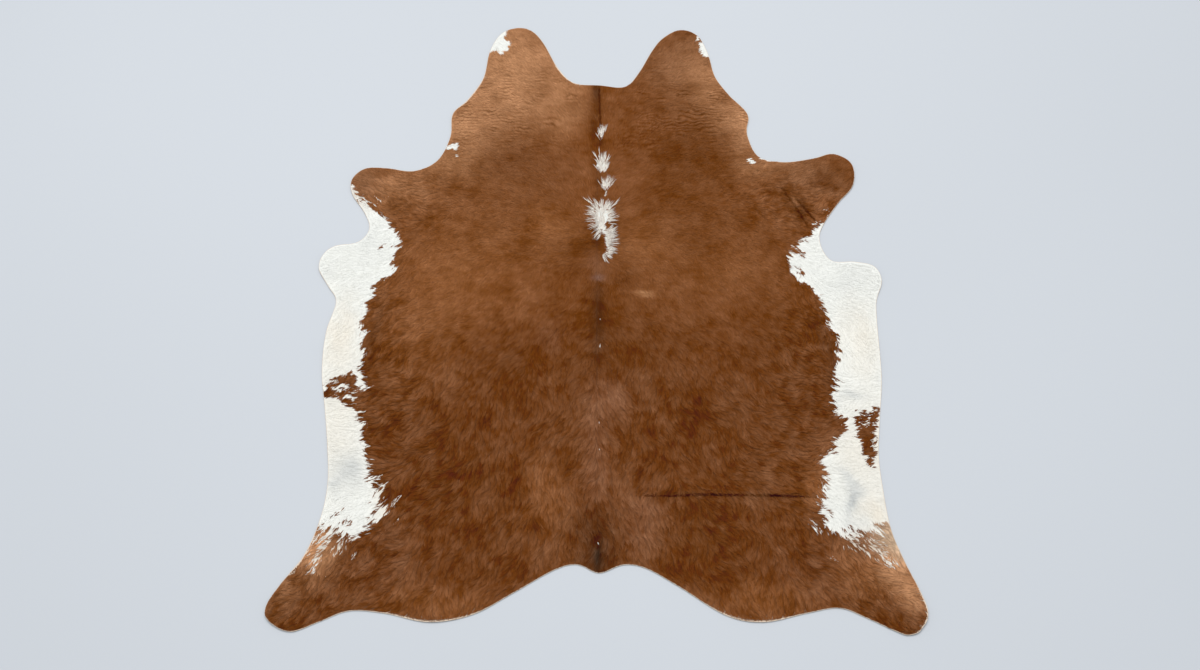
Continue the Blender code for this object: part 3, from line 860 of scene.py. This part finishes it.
def clump_of(x, y, heading):
    """The clump that each lock gathers in: its place across and along it, and the clump's mood.

    Across and along run from about -1 to 1, and mood is a random number for the whole clump.
    """
    rng = np.random.default_rng(SEED)
    shift = rng.uniform(-0.45, 0.45, (2, 256, 256))
    moods = rng.uniform(-1, 1, (256, 256))
    column, row = np.floor(x / CLUMP).astype(int), np.floor(y / CLUMP).astype(int)
    nearest = np.full(x.size, np.inf)
    across, along, mood = np.zeros(x.size), np.zeros(x.size), np.zeros(x.size)
    for step in np.ndindex(5, 5):
        cell_x, cell_y = column + step[0] - 2, row + step[1] - 2
        wrapped = cell_y % 256, cell_x % 256
        away_x = x - (cell_x + 0.5 + shift[0][wrapped]) * CLUMP
        away_y = y - (cell_y + 0.5 + shift[1][wrapped]) * CLUMP
        cell_along = away_x * np.cos(heading) + away_y * np.sin(heading)
        cell_across = away_y * np.cos(heading) - away_x * np.sin(heading)
        away = np.hypot(cell_across, cell_along / CLUMP_STRETCH)
        closer = away < nearest
        nearest = np.where(closer, away, nearest)
        across = np.where(closer, cell_across, across)
        along = np.where(closer, cell_along, along)
        mood = np.where(closer, moods[wrapped], mood)
    return Clump(across / (CLUMP / 2), along / (CLUMP * CLUMP_STRETCH / 2), mood)


# Locks of hair, as an array for each column. "layer" is how high they lie, from 0 for the lowest to
# 1 for the top of the coat and more for loose hair. "white" is whether they are white, and the last
# column is how much lighter or darker than the coat's colour they are: partly their own tone, and
# partly painted light and shade.
Locks = namedtuple("Locks", "x y heading length width layer white relief")


def gathered(parts):
    """Several lots of locks as one."""
    return Locks(*(np.concatenate(values) for values in zip(*parts)))


def along_lock(locks, share):
    """The place on each lock at that share of its length from the root, as x and y."""
    reach = share * locks.length
    return locks.x + reach * np.cos(locks.heading), locks.y + reach * np.sin(locks.heading)


def planted_locks(rng):
    """Locks of hair rooted on a jittered grid all over the hide, and gathered in clumps."""
    across = np.arange(CAD_LOW.x, CAD_HIGH.x, ROOT_STEP)
    along = np.arange(CAD_LOW.y, CAD_HIGH.y, ROOT_STEP)
    x, y = (values.ravel() for values in np.meshgrid(across, along))
    x = x + rng.uniform(-0.5, 0.5, x.size) * ROOT_STEP
    y = y + rng.uniform(-0.5, 0.5, y.size) * ROOT_STEP
    rooted = inside_edge(x, y) > ROOT_INSET
    x, y = x[rooted], y[rooted]
    heading = lie(x, y)
    clump = clump_of(x, y, heading)
    rough = 0.25 + 0.75 * roughness(x, y)
    bend = 11 * clump.mood - 16 * np.clip(clump.across, -1, 1)
    heading = heading + np.radians(rough * bend + rng.normal(0, 6, x.size))
    length = hair_length(x, y) * rng.uniform(0.8, 1.2, x.size)
    width = LOCK_WIDTH * rng.uniform(0.75, 1.25, x.size)
    seen_x = x + SEEN_AT * length * np.cos(heading) - 0.4 * rough * CLUMP * clump.mood
    seen_y = y + SEEN_AT * length * np.sin(heading)
    white = is_white(seen_x, seen_y, rng.random(x.size))
    crown = 1 - np.clip(clump.across, -1, 1) ** 2
    layer = np.clip(0.45 * rng.random(x.size) + 0.55 * crown * rough + 0.1, 0, 1)
    layer = np.where(white, 0.2 * layer, layer)
    # each clump's own tone, with painted light on its crown and towards its tip end, and painted
    # shade at its sides between clumps
    relief = rough * (0.10 * clump.mood + 0.12 * (crown - 0.6) + 0.06 * np.clip(clump.along, -1, 1))
    return Locks(x, y, heading, length, width, layer, white, relief)


def fan_locks(rng):
    """The loose white hair on the spine, which lies on top of the rest in pointed wisps."""
    parts = []
    for row in FANS:
        wisps = max(1, row.hairs // HAIRS_IN_WISP)
        share = rng.random(wisps)
        turn = row.heading_from + share * (row.heading_to - row.heading_from)
        turn = np.radians(turn + row.spread * rng.normal(0, 1, wisps))
        reach = row.length * rng.uniform(0.35, 1.25, wisps)
        root_x = row.x_from + share * (row.x_to - row.x_from) + row.band * rng.normal(0, 0.4, wisps)
        root_y = row.y_from + share * (row.y_to - row.y_from) + row.band * rng.normal(0, 0.4, wisps)
        wisp = np.arange(row.hairs) % wisps
        tip_x = (root_x + reach * np.cos(turn))[wisp]
        tip_y = (root_y + reach * np.sin(turn))[wisp]
        start = rng.uniform(0, 0.5, row.hairs)
        breadth = WISP_BREADTH * (1 - start)
        x = root_x[wisp] + start * (tip_x - root_x[wisp]) + breadth * rng.normal(0, 0.5, row.hairs)
        y = root_y[wisp] + start * (tip_y - root_y[wisp]) + breadth * rng.normal(0, 0.5, row.hairs)
        heading = np.arctan2(tip_y - y, tip_x - x)
        length = np.hypot(tip_x - x, tip_y - y) * rng.uniform(0.75, 1.05, row.hairs)
        width = TUFT_WIDTH * rng.uniform(0.7, 1.3, row.hairs)
        layer = rng.uniform(1.0, 1.7, row.hairs)
        white = np.ones(row.hairs, bool)
        # painted shade between the wisps: some whole wisps are darker
        relief = (-0.9 * rng.random(wisps) ** 1.5)[wisp]
        parts.append(Locks(x, y, heading, length, width, layer, white, relief))
    return gathered(parts)


def stray_locks(rng):
    """Thin hairs that lie across the others here and there, some paler and some darker."""
    x = rng.uniform(CAD_LOW.x, CAD_HIGH.x, STRAYS)
    y = rng.uniform(CAD_LOW.y, CAD_HIGH.y, STRAYS)
    seen = inside_edge(x, y) > STRAY_INSET
    seen &= ~is_white(x, y, np.full(STRAYS, 0.5))
    x, y = x[seen], y[seen]
    heading = lie(x, y) + np.radians(rng.normal(0, STRAY_TURN, x.size))
    length = rng.uniform(0.014, 0.030, x.size)
    width = rng.uniform(0.0008, 0.0014, x.size)
    layer = rng.uniform(0.8, 1.2, x.size)
    relief = rng.choice((-0.45, 0.35, 0.60), x.size) * rng.uniform(0.4, 1.0, x.size)
    return Locks(x, y, heading, length, width, layer, np.zeros(x.size, bool), relief)


def crease_shadow_locks(rng):
    """Short dark hair laid along the deep creases as painted shadow."""
    parts = []
    for row in (crease for crease in CREASES if crease.dark >= DEEP_CREASE):
        run = math.hypot(row.x_to - row.x_from, row.y_to - row.y_from)
        count = round(run / CREASE_SHADOW_HAIR_STEP)
        share = np.sort(rng.random(count))
        turn = math.atan2(row.y_to - row.y_from, row.x_to - row.x_from)
        x = row.x_from + share * (row.x_to - row.x_from)
        y = row.y_from + share * (row.y_to - row.y_from)
        aside = 0.0012 * rng.normal(0, 1, count) + 0.003 * ripple(x, y, 0.080, 70)
        x, y = x - aside * math.sin(turn), y + aside * math.cos(turn)
        heading = turn + np.radians(rng.normal(0, 9, count))
        length = rng.uniform(0.010, 0.017, count)
        width = np.full(count, CREASE_SHADOW_HAIR_WIDTH)
        layer = rng.uniform(1.1, 1.4, count)
        faint = 0.5 + 0.5 * soft_step(-0.5, 0.3, ripple(x, y, 0.090, 71))
        # painted shadow: these hairs are darker by the crease's painted shade
        relief = -row.dark * faint * rng.uniform(0.9, 1.0, count)
        parts.append(Locks(x, y, heading, length, width, layer, np.zeros(count, bool), relief))
    return gathered(parts)


def bare_lip(x, y):
    """How much of the cut edge shows past the hair, from 0 to about 1."""
    shown = np.zeros(x.shape)
    for row in LIPS:
        shown += np.exp(-distance_from(x, y, row))
    return np.minimum(shown, 1)


def kept_to_edge(locks, rng):
    """Shortens the locks that would reach the cut edge, so that most end just inside it."""
    tip = inside_edge(*along_lock(locks, 1))
    root = inside_edge(locks.x, locks.y)
    margin = CUT_MARGIN - CUT_RAGGED * rng.random(locks.x.size) ** 2
    margin = margin + LIP_MARGIN * bare_lip(locks.x, locks.y)
    share = (root - margin) / np.maximum(root - tip, 1e-6)
    too_long = tip < margin
    length = np.where(too_long, locks.length * np.clip(share, 0.15, 1), locks.length)
    return locks._replace(length=length)


def lock_points(locks, rng):
    """The five points of each lock: a pair at the root, a pair past the middle, and the tip."""
    bend = locks.heading + np.radians(rng.normal(0, 6, locks.x.size))
    middle_x, middle_y = along_lock(locks, BEND_AT)
    tip_x = middle_x + (1 - BEND_AT) * locks.length * np.cos(bend)
    tip_y = middle_y + (1 - BEND_AT) * locks.length * np.sin(bend)
    rim = np.clip(inside_edge(tip_x, tip_y) / 0.008, 0, 1) * 0.7 + 0.3
    root_z = skin_height(locks.x, locks.y) - ROOT_SINK
    middle_z = skin_height(middle_x, middle_y) + (MIDDLE_LIFT + MIDDLE_RISE * locks.layer) * rim
    tip_z = skin_height(tip_x, tip_y) + (TIP_LIFT + TIP_RISE * locks.layer) * rim
    roll = np.radians(rng.normal(0, 10, locks.x.size))
    half = locks.width / 2
    side_x, side_y = -np.sin(locks.heading) * half, np.cos(locks.heading) * half
    side_z = half * np.sin(roll)
    points = np.empty((locks.x.size, 5, 3))
    for first, x, y, z, fullness in (
        (0, locks.x, locks.y, root_z, 0.8),
        (2, middle_x, middle_y, middle_z, 1.0),
    ):
        for corner, sign in ((first, 1.0), (first + 1, -1.0)):
            points[:, corner, 0] = x + sign * fullness * side_x
            points[:, corner, 1] = y + sign * fullness * side_y
            points[:, corner, 2] = z + sign * fullness * side_z
    points[:, 4] = np.stack((tip_x, tip_y, tip_z), axis=1)
    return points


def lock_colours(locks, rng):
    """A colour for each of a lock's five points: deeper at the root as painted shade, and lighter
    at the tip as painted light.
    """
    seen_x, seen_y = along_lock(locks, SEEN_AT)
    white = locks.white[:, None]
    brown = brown_coat(seen_x, seen_y)
    depth = locks.relief + 0.06 * rng.normal(0, 1, locks.x.size)
    # painted shade along the creases
    for row in CREASES:
        away = distance_to_run(seen_x, seen_y, row.x_from, row.y_from, row.x_to, row.y_to)
        depth = depth - 0.5 * row.dark * soft_fall(away / row.half_width)
    depth = np.clip(depth, -0.8, 0.8)[:, None]
    # the locks' own lightness moves the painted sheen the same way
    brown = under_sheen(np.maximum(brown * (1 + depth) + 0.3 * MOTTLE_SHEEN * depth, DARKEST))
    loose = (locks.layer > 1)[:, None]
    pale = white_coat(seen_x, seen_y) * (1 + np.where(loose, 0.26, 0.06) * np.minimum(depth, 0))
    pale = pale * np.where(loose, WARMTH, 1.0)
    colour = np.where(white, pale, brown)
    # painted shade at the roots, and painted light at the brown tips
    root = np.where(loose, 0.86, np.where(white, 1.0, 0.85))
    tip = np.where(white, 1.0, 1.06)
    made = np.ones((locks.x.size, 5, 4))
    made[:, 0:2, :3] = (colour * root)[:, None]
    made[:, 2:4, :3] = colour[:, None]
    made[:, 4, :3] = np.where(loose, 0.45 * colour + 0.55 * brown, colour * tip)
    return np.clip(made, 0.001, 0.96)


def paint_points(shape, colours):
    """Keeps a colour for each of a mesh's points, for its material to read."""
    paint = shape.color_attributes.new("coat_colour", "FLOAT_COLOR", "POINT")
    paint.data.foreach_set("color", colours.astype(np.float32).ravel())


def placed(name, data):
    """A new object in the scene, of that mesh, light or camera."""
    made = bpy.data.objects.new(name, data)
    bpy.context.scene.collection.objects.link(made)
    return made


def joined_locks(name, points, colours, material):
    """One mesh of many locks: a four-sided face from root to middle, and a three-sided tip."""
    count = len(points)
    first = 5 * np.arange(count)[:, None]
    corners = (first + np.array((0, 1, 3, 2, 2, 3, 4))).ravel()
    starts = (7 * np.arange(count)[:, None] + np.array((0, 4))).ravel()
    shape = bpy.data.meshes.new(name)
    shape.vertices.add(5 * count)
    shape.vertices.foreach_set("co", points.astype(np.float32).ravel())
    shape.loops.add(7 * count)
    shape.loops.foreach_set("vertex_index", corners.astype(np.int32))
    shape.polygons.add(2 * count)
    shape.polygons.foreach_set("loop_start", starts.astype(np.int32))
    shape.update(calc_edges=True)
    shape.shade_smooth()
    paint_points(shape, colours)
    strand = shape.uv_layers.new(name="strand")
    root_face = (0, 0), (1, 0), (1, BEND_AT), (0, BEND_AT)
    tip_face = (0, BEND_AT), (1, BEND_AT), (0.5, 1)
    both = np.array(root_face + tip_face)
    strand.data.foreach_set("uv", np.tile(both, (count, 1)).astype(np.float32).ravel())
    shape.materials.append(material)
    return placed(name, shape)


def coat(material):
    """The hair, as bands across the hide from the neck to the tail."""
    rng = np.random.default_rng(SEED)
    parts = planted_locks(rng), stray_locks(rng), crease_shadow_locks(rng), fan_locks(rng)
    locks = kept_to_edge(gathered(parts), rng)
    points = lock_points(locks, rng)
    colours = lock_colours(locks, rng)
    order = np.argsort(-locks.y, kind="stable")
    made = []
    for band, chosen in zip(COAT_BANDS, np.array_split(order, len(COAT_BANDS))):
        made.append(joined_locks(f"coat_{band}", points[chosen], colours[chosen], material))
    return made


# ---- The leather ----------------------------------------------------------------------------


def remove_corner_joints(mesh):
    """Takes out points where two cells meet only at a corner, until none is left."""
    while True:
        joints = [v for v in mesh.verts if sum(edge.is_boundary for edge in v.link_edges) > 2]
        if not joints:
            return
        bmesh.ops.delete(mesh, geom=joints, context="VERTS")


def cut_to_outline():
    """One flat layer of faces that point up, cut to the hide's outline."""
    size = CAD_HIGH - CAD_LOW
    mesh = bmesh.new()
    bmesh.ops.create_grid(
        mesh, x_segments=round(size.x / CELL), y_segments=round(size.y / CELL), size=0.5
    )
    bmesh.ops.scale(mesh, verts=mesh.verts, vec=(size.x, size.y, 1.0))
    middle = (CAD_LOW + CAD_HIGH) / 2
    bmesh.ops.translate(mesh, verts=mesh.verts, vec=(middle.x, middle.y, 0.0))
    mesh.verts.ensure_lookup_table()
    places = np.array([vert.co[:2] for vert in mesh.verts])
    beyond = inside_edge(places[:, 0], places[:, 1]) < RIM
    bmesh.ops.delete(mesh, geom=[mesh.verts[i] for i in np.flatnonzero(beyond)], context="VERTS")
    remove_corner_joints(mesh)
    inner = [edge for edge in mesh.edges if edge.is_boundary]
    corners = [mesh.verts.new((x, y, 0.0)) for x, y in RIM_POINTS]
    outer = [mesh.edges.new((corners[i - 1], corners[i])) for i in range(len(corners))]
    bmesh.ops.triangle_fill(mesh, use_beauty=True, edges=inner + outer)
    bmesh.ops.recalc_face_normals(mesh, faces=mesh.faces)
    if mesh.faces[0].normal.z < 0:
        bmesh.ops.reverse_faces(mesh, faces=mesh.faces)
    bmesh.ops.inset_region(mesh, faces=mesh.faces, thickness=BARE_EDGE, use_boundary=True)
    return mesh


def undercoat_colours(places):
    """The short underfur between the locks, a little deeper than the coat itself: the brown is
    darkened there as painted shade between the locks.
    """
    x, y = places[:, 0], places[:, 1]
    white = is_white(x, y, np.full(len(x), 0.5))[:, None]
    colour = np.where(white, white_coat(x, y), 0.75 * under_sheen(brown_coat(x, y)))
    lip = bare_lip(x, y)
    rim = soft_step(0.0016 + 0.0034 * lip, 0.0008 + 0.0016 * lip, inside_edge(x, y))[:, None]
    colour = colour + (RAWHIDE - colour) * rim
    return np.concatenate((colour, np.ones((len(x), 1))), axis=1)


def leather(hair_side, flesh_side):
    """The leather sheet: its hair side, a cut rim, and its flesh side on the floor."""
    mesh = cut_to_outline()
    top_faces = list(mesh.faces)
    places = np.array([vert.co[:2] for vert in mesh.verts])
    for vert, height in zip(mesh.verts, skin_height(places[:, 0], places[:, 1])):
        vert.co.z = height
    lowered = bmesh.ops.extrude_face_region(mesh, geom=top_faces, use_keep_orig=True)["geom"]
    underside = [item for item in lowered if isinstance(item, bmesh.types.BMVert)]
    bmesh.ops.translate(mesh, verts=underside, vec=(0.0, 0.0, -LEATHER))
    for face in mesh.faces:
        face.material_index = 1
        face.smooth = True
    for face in top_faces:
        face.material_index = 0
    bmesh.ops.recalc_face_normals(mesh, faces=mesh.faces)
    shape = bpy.data.meshes.new("leather")
    mesh.to_mesh(shape)
    mesh.free()
    shape.set_sharp_from_angle(angle=math.radians(40))
    everywhere = np.array([vert.co[:2] for vert in shape.vertices])
    paint_points(shape, undercoat_colours(everywhere))
    shape.materials.append(hair_side)
    shape.materials.append(flesh_side)
    return placed("leather", shape)


# ---- Materials ------------------------------------------------------------------------------


class Finish:
    """A material's node tree, with short ways to add and join its nodes."""

    def __init__(self, name, roughness, specular):
        self.material = bpy.data.materials.new(name)
        self.material.use_nodes = True
        self.tree = self.material.node_tree
        self.shader = self.tree.nodes["Principled BSDF"]
        self.shader.inputs["Roughness"].default_value = roughness
        self.shader.inputs["Specular IOR Level"].default_value = specular

    def node(self, kind, **inputs):
        made = self.tree.nodes.new(kind)
        for name, value in inputs.items():
            self.put(made.inputs[name.replace("_", " ")], value)
        return made

    def put(self, socket, value):
        if isinstance(value, bpy.types.NodeSocket):
            self.tree.links.new(value, socket)
        else:
            socket.default_value = value

    def maths(self, operation, first, second):
        made = self.tree.nodes.new("ShaderNodeMath")
        made.operation = operation
        self.put(made.inputs[0], first)
        self.put(made.inputs[1], second)
        return made.outputs[0]

    def fit(self, value, low, high, new_low, new_high):
        made = self.node("ShaderNodeMapRange", Value=value)
        for name, number in zip(
            ("From Min", "From Max", "To Min", "To Max"), (low, high, new_low, new_high)
        ):
            made.inputs[name].default_value = number
        return made.outputs[0]

    def tinted(self, colour, factor):
        """A colour multiplied by a number."""
        made = self.tree.nodes.new("ShaderNodeVectorMath")
        made.operation = "SCALE"
        self.put(made.inputs[0], colour)
        self.put(made.inputs["Scale"], factor)
        return made.outputs[0]

    def noise(self, place, scale, detail=2.0, rough=0.5):
        made = self.node("ShaderNodeTexNoise", Vector=place, Scale=scale, Detail=detail)
        made.inputs["Roughness"].default_value = rough
        return made.outputs["Fac"]

    def stretched(self, place, scale):
        made = self.node("ShaderNodeMapping", Vector=place, Scale=scale)
        return made.outputs[0]

    def bump(self, height, depth):
        made = self.node("ShaderNodeBump", Height=height, Distance=depth)
        self.tree.links.new(made.outputs[0], self.shader.inputs["Normal"])


def painted(finish):
    """The colour painted on the mesh's own points."""
    attribute = finish.tree.nodes.new("ShaderNodeAttribute")
    attribute.attribute_name = "coat_colour"
    return attribute.outputs["Color"]


def hair_finish():
    """Lying hair: each lock is streaked along its length with finer hairs."""
    finish = Finish("hair_on_hide", 0.62, 0.06)
    strand = finish.tree.nodes.new("ShaderNodeUVMap")
    strand.uv_map = "strand"
    place = finish.node("ShaderNodeTexCoord").outputs["Object"]
    lock = finish.noise(place, 260.0, 1.0)
    across = finish.stretched(strand.outputs[0], (3.5, 0.35, 1.0))
    fine = finish.noise(across, 4.0, 2.0)
    streak = finish.fit(fine, 0.3, 0.7, 0.93, 1.07)
    finish.put(finish.shader.inputs["Base Color"], finish.tinted(painted(finish), streak))
    finish.put(finish.shader.inputs["Roughness"], finish.fit(lock, 0.3, 0.7, 0.55, 0.70))
    finish.bump(fine, 0.0004)
    return finish.material


def undercoat_finish():
    """The short underfur on the leather's hair side."""
    finish = Finish("undercoat", 0.85, 0.15)
    place = finish.node("ShaderNodeTexCoord").outputs["Object"]
    fluff = finish.noise(place, 700.0, 3.0, 0.6)
    streak = finish.fit(fluff, 0.3, 0.7, 0.80, 1.15)
    finish.put(finish.shader.inputs["Base Color"], finish.tinted(painted(finish), streak))
    finish.bump(fluff, 0.0008)
    return finish.material


def flesh_finish():
    """The napped flesh side and the cut rim: pale suede with soft cloudy patches."""
    finish = Finish("leather_back", 0.9, 0.1)
    place = finish.node("ShaderNodeTexCoord").outputs["Object"]
    clouds = finish.noise(place, 9.0, 4.0, 0.55)
    nap = finish.noise(place, 900.0, 2.0, 0.7)
    ramp = finish.node("ShaderNodeValToRGB", Fac=clouds)
    ramp.color_ramp.elements[0].position = 0.30
    ramp.color_ramp.elements[0].color = (*shade(196, 180, 158), 1.0)
    ramp.color_ramp.elements[1].position = 0.72
    ramp.color_ramp.elements[1].color = (*shade(222, 212, 196), 1.0)
    shaded = finish.fit(nap, 0.25, 0.75, 0.90, 1.06)
    finish.put(finish.shader.inputs["Base Color"], finish.tinted(ramp.outputs[0], shaded))
    finish.bump(nap, 0.0006)
    return finish.material


def floor_finish():
    """Matt pale paper."""
    finish = Finish("studio_paper", 0.9, 0.1)
    place = finish.node("ShaderNodeTexCoord").outputs["Object"]
    tooth = finish.noise(place, 400.0, 2.0)
    cast = finish.noise(place, 0.5, 1.0)
    grain = finish.fit(tooth, 0.3, 0.7, 0.995, 1.005)
    clouds = finish.fit(cast, 0.3, 0.7, 0.985, 1.015)
    level = finish.maths("MULTIPLY", grain, clouds)
    finish.put(finish.shader.inputs["Base Color"], finish.tinted(shade(197, 201, 206), level))
    return finish.material


# ---- The studio -----------------------------------------------------------------------------


def floor():
    """A wide plain floor under the rug."""
    mesh = bmesh.new()
    bmesh.ops.create_grid(mesh, x_segments=4, y_segments=4, size=FLOOR_REACH)
    shape = bpy.data.meshes.new("floor")
    mesh.to_mesh(shape)
    mesh.free()
    shape.materials.append(floor_finish())
    made = placed("floor", shape)
    made.location.z = -FLOOR_GAP
    return made


def softbox(name, place, size, power):
    """A large soft light that points at the rug."""
    light = bpy.data.lights.new(name, "AREA")
    light.shape = "SQUARE"
    light.size = size
    light.energy = power
    made = placed(name, light)
    made.location = place
    made.rotation_euler = (-Vector(place)).to_track_quat("-Z", "Y").to_euler()
    made.visible_camera = False


def studio():
    """Even light from a pale room, with one large softbox overhead, towards the neck."""
    world = bpy.data.worlds.new("studio")
    world.use_nodes = True
    background = world.node_tree.nodes["Background"]
    background.inputs["Color"].default_value = (0.94, 0.97, 1.0, 1.0)
    background.inputs["Strength"].default_value = 0.60
    bpy.context.scene.world = world
    softbox("overhead", (-0.3, 1.4, 7.0), 5.0, 390.0)


def camera():
    """A 40 mm view from well above head height behind the tail, looking steeply down."""
    lens = bpy.data.cameras.new("camera")
    lens.lens = 40.0
    lens.sensor_width = 36.0
    made = placed("camera", lens)
    made.location = (0.0098, -2.0358, 3.664)
    made.rotation_euler = (math.radians(27.4), 0.0, 0.0)
    bpy.context.scene.camera = made


camera()
studio()
ground = floor()
sheet = leather(undercoat_finish(), flesh_finish())
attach(sheet, "root")
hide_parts("hide")
bands = coat(hair_finish())
for band in bands:
    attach(band, "root")
bpy.context.scene.view_settings.view_transform = "Standard"
